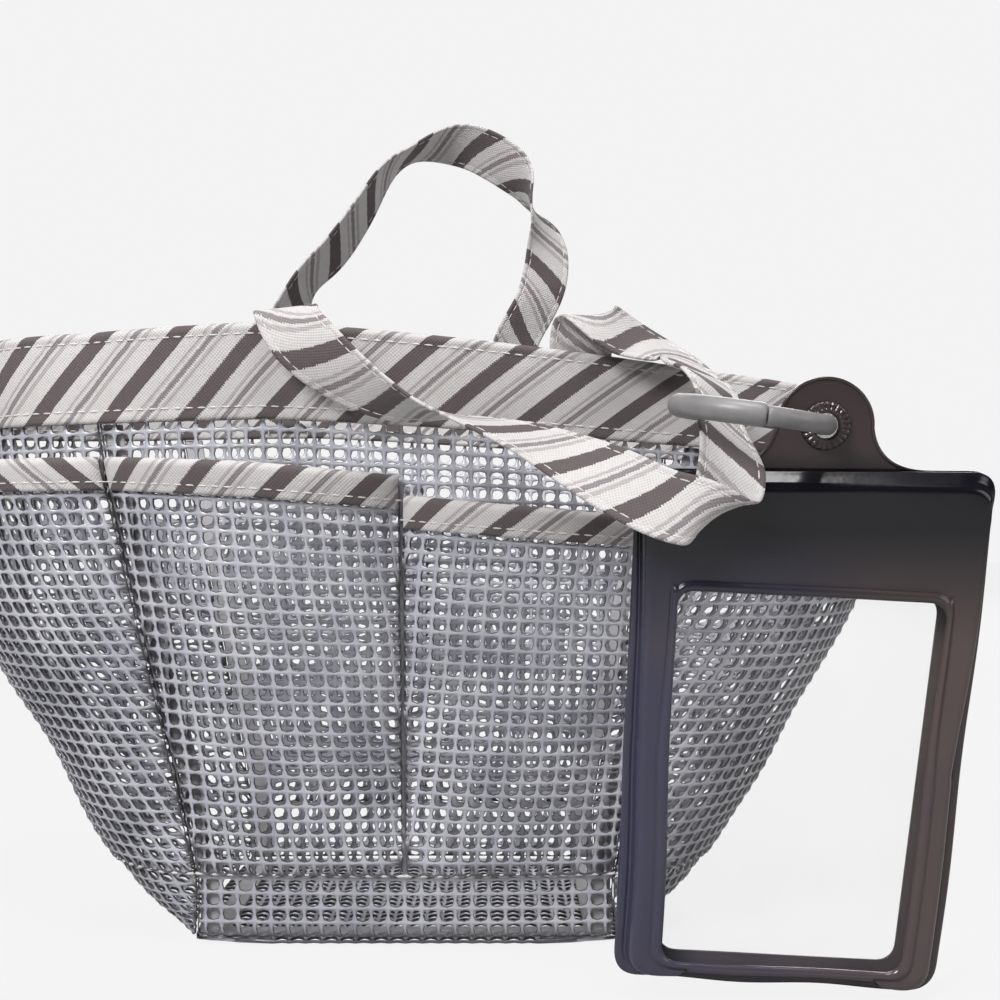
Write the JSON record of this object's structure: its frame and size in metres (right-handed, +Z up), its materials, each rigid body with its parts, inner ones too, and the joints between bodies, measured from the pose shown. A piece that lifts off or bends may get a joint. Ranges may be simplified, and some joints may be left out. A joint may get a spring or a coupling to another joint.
{
  "type": "mesh shower caddy",
  "caption": "Soft oval net tote for the shower, with a striped canvas rim, strap handles, outside pockets and a flat windowed pouch hung on a split ring.",
  "frame": {"origin": "middle of the underside of the base panel", "axes": "+X towards the side where the pouch hangs, -Y towards the front handle, +Z up"},
  "size_m": [0.377, 0.2481, 0.3318],
  "materials": {
    "net": "vinyl-coated open net, semi-gloss",
    "striped_canvas": "woven canvas with diagonal stripes",
    "seam_tape": "woven tape",
    "ring_plastic": "satin moulded plastic",
    "dark_vinyl": "glossy soft vinyl sheet",
    "clear_vinyl": "clear soft vinyl sheet"
  },
  "bodies": {
    "root": {"base_panel": "net", "base_seam_tape": "seam_tape", "front_panel": "net", "back_panel": "net", "left_panel": "net", "right_panel": "net", "seam_tape_front_left": "seam_tape", "seam_tape_front_right": "seam_tape", "seam_tape_back_left": "seam_tape", "seam_tape_back_right": "seam_tape", "rim_band": "striped_canvas", "front_left_pocket": "net", "front_left_pocket_binding": "striped_canvas", "front_right_pocket": "net", "front_right_pocket_binding": "striped_canvas", "back_left_pocket": "net", "back_left_pocket_binding": "striped_canvas", "back_right_pocket": "net", "back_right_pocket_binding": "striped_canvas", "left_pocket": "net", "left_pocket_binding": "striped_canvas", "right_pocket": "net", "right_pocket_binding": "striped_canvas", "front_handle_left_end": "striped_canvas", "front_handle_right_end": "striped_canvas", "back_handle_left_end": "striped_canvas", "back_handle_right_end": "striped_canvas"},
    "front_handle": {"front_handle": "striped_canvas"},
    "back_handle": {"back_handle": "striped_canvas"},
    "ring": {"ring_pin_half": "ring_plastic"},
    "ring_gate": {"ring_socket_half": "ring_plastic"},
    "pouch": {"pouch_front_sheet": "dark_vinyl", "pouch_back_sheet": "dark_vinyl", "pouch_edge_weld": "dark_vinyl", "pouch_eyelet": "dark_vinyl", "pouch_front_window": "clear_vinyl", "pouch_back_window": "clear_vinyl"}
  },
  "joints": [
    {"name": "back_handle_swing", "type": "hinge", "parent": "root", "child": "back_handle", "pos_m": [-0.064, 0.07615, 0.22242], "axis": [0.9967, 0.04, -0.071], "range_deg": [-75, 80]},
    {"name": "front_handle_swing", "type": "hinge", "parent": "root", "child": "front_handle", "pos_m": [-0.039, -0.07995, 0.22193], "axis": [-0.9948, -0.034, 0.096], "range_deg": [0, 100], "deforming": ["front_handle"]},
    {"name": "ring_level", "type": "hinge", "parent": "front_handle", "child": "ring", "pos_m": [0.1115, -0.129, 0.186], "axis": [-0.9948, -0.034, 0.096], "range_deg": [-92, 0]},
    {"name": "ring_gate_swing", "type": "hinge", "parent": "ring", "child": "ring_gate", "pos_m": [0.1115, -0.10285, 0.18765], "axis": [-0.139, 0.062, -0.9883], "range_deg": [0, 40]},
    {"name": "pouch_swing", "type": "hinge", "parent": "ring", "child": "pouch", "pos_m": [0.13378, -0.129, 0.18287], "axis": [0, -1, 0], "range_deg": [-2, 60]}
  ],
  "couplings": [
    {"joint": "ring_level", "follows": "front_handle_swing", "ratio": -0.92}
  ]
}
